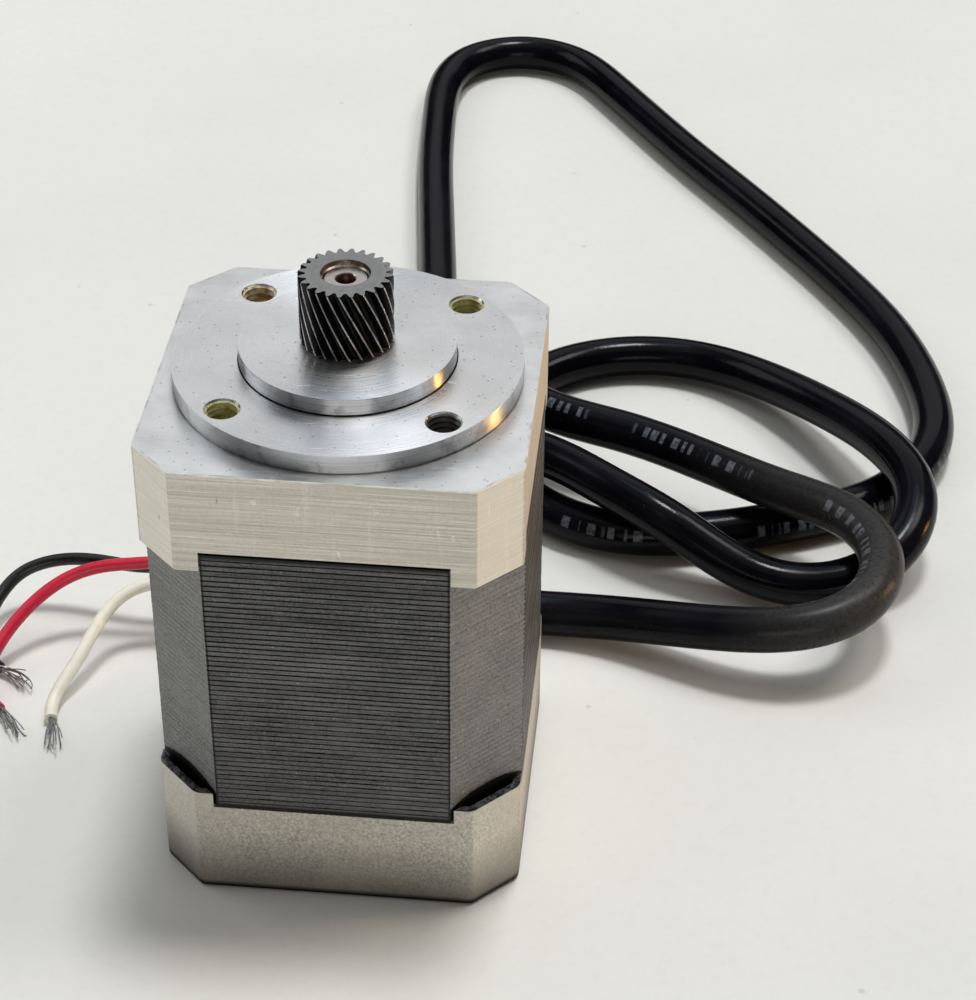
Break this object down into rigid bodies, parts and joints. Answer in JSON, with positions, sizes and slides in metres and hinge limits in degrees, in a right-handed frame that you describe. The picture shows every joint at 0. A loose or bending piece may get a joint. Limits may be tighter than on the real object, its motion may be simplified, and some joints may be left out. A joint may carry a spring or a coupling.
{
  "type": "stepper motor with helical pinion",
  "caption": "Square hybrid stepper motor: machined front cover, laminated stator, cast rear cover, helical pinion on its shaft and a free jacketed lead.",
  "frame": {"origin": "centre of the rear cover's underside, on the bench, without the lead", "axes": "+Z along the motor shaft towards the pinion, +Y towards the side that the lead leaves from, +X to the right seen from the side opposite the lead"},
  "size_m": [0.1307, 0.221, 0.073],
  "materials": {
    "machined_aluminium": "turned and milled, fine tool marks",
    "cast_aluminium": "matte grainy die casting",
    "screw_steel": "black oxide",
    "lamination_steel": "stacked sheets with dark joint lines",
    "insulator_plastic": "moulded black plastic",
    "copper_winding": "enamelled copper wire",
    "board": "green circuit board",
    "black_insulation": "glossy wire insulation",
    "red_insulation": "glossy wire insulation",
    "white_insulation": "glossy wire insulation",
    "ground_steel": "ground",
    "blackened_steel": "hobbed steel, black flanks with bright crests",
    "silicon_steel": "ground rotor laminations",
    "magnet": "nickel plated magnet",
    "spacer_brass": "turned brass",
    "bearing_steel": "polished bearing steel",
    "plated_steel": "plated sheet",
    "grommet_rubber": "moulded rubber",
    "jacket_pvc": "satin black jacket",
    "tinned_copper": "tinned fine strands"
  },
  "bodies": {
    "motor_body": {"front_cover": "machined_aluminium", "rear_cover": "cast_aluminium", "through_screw_1": "screw_steel", "through_screw_2": "screw_steel", "through_screw_3": "screw_steel", "through_screw_4": "screw_steel", "stator_core": "lamination_steel", "front_insulator": "insulator_plastic", "rear_insulator": "insulator_plastic", "coil_1": "copper_winding", "coil_2": "copper_winding", "coil_3": "copper_winding", "coil_4": "copper_winding", "coil_5": "copper_winding", "coil_6": "copper_winding", "terminal_board": "board", "inner_lead_black": "black_insulation", "inner_lead_red": "red_insulation", "inner_lead_white": "white_insulation", "front_bearing_outer_ring": "bearing_steel", "front_bearing_upper_shield": "plated_steel", "front_bearing_lower_shield": "plated_steel", "rear_bearing_outer_ring": "bearing_steel", "rear_bearing_upper_shield": "plated_steel", "rear_bearing_lower_shield": "plated_steel", "wave_washer": "plated_steel", "cable_grommet": "grommet_rubber", "cable_jacket": "jacket_pvc", "lead_black": "black_insulation", "lead_red": "red_insulation", "lead_white": "white_insulation", "strands_black": "tinned_copper", "strands_red": "tinned_copper", "strands_white": "tinned_copper"},
    "rotor": {"motor_shaft": "ground_steel", "helical_pinion": "blackened_steel", "rotor_cup_lower": "silicon_steel", "rotor_magnet": "magnet", "rotor_cup_upper": "silicon_steel", "front_spacer": "spacer_brass", "rear_spacer": "spacer_brass", "front_bearing_inner_ring": "bearing_steel", "rear_bearing_inner_ring": "bearing_steel"},
    "front_ball_set": {"front_bearing_ball_cage": "bearing_steel"},
    "rear_ball_set": {"rear_bearing_ball_cage": "bearing_steel"}
  },
  "joints": [
    {"name": "rotor_spin", "type": "hinge", "parent": "motor_body", "child": "rotor", "pos_m": [0, 0, 0.03], "axis": [0, 0, 1], "continuous": true},
    {"name": "front_balls_roll", "type": "hinge", "parent": "motor_body", "child": "front_ball_set", "pos_m": [0, 0, 0.05645], "axis": [0, 0, 1], "continuous": true},
    {"name": "rear_balls_roll", "type": "hinge", "parent": "motor_body", "child": "rear_ball_set", "pos_m": [0, 0, 0.0061], "axis": [0, 0, 1], "continuous": true}
  ],
  "couplings": [
    {"joint": "front_balls_roll", "follows": "rotor_spin", "ratio": 0.368},
    {"joint": "rear_balls_roll", "follows": "rotor_spin", "ratio": 0.368}
  ]
}
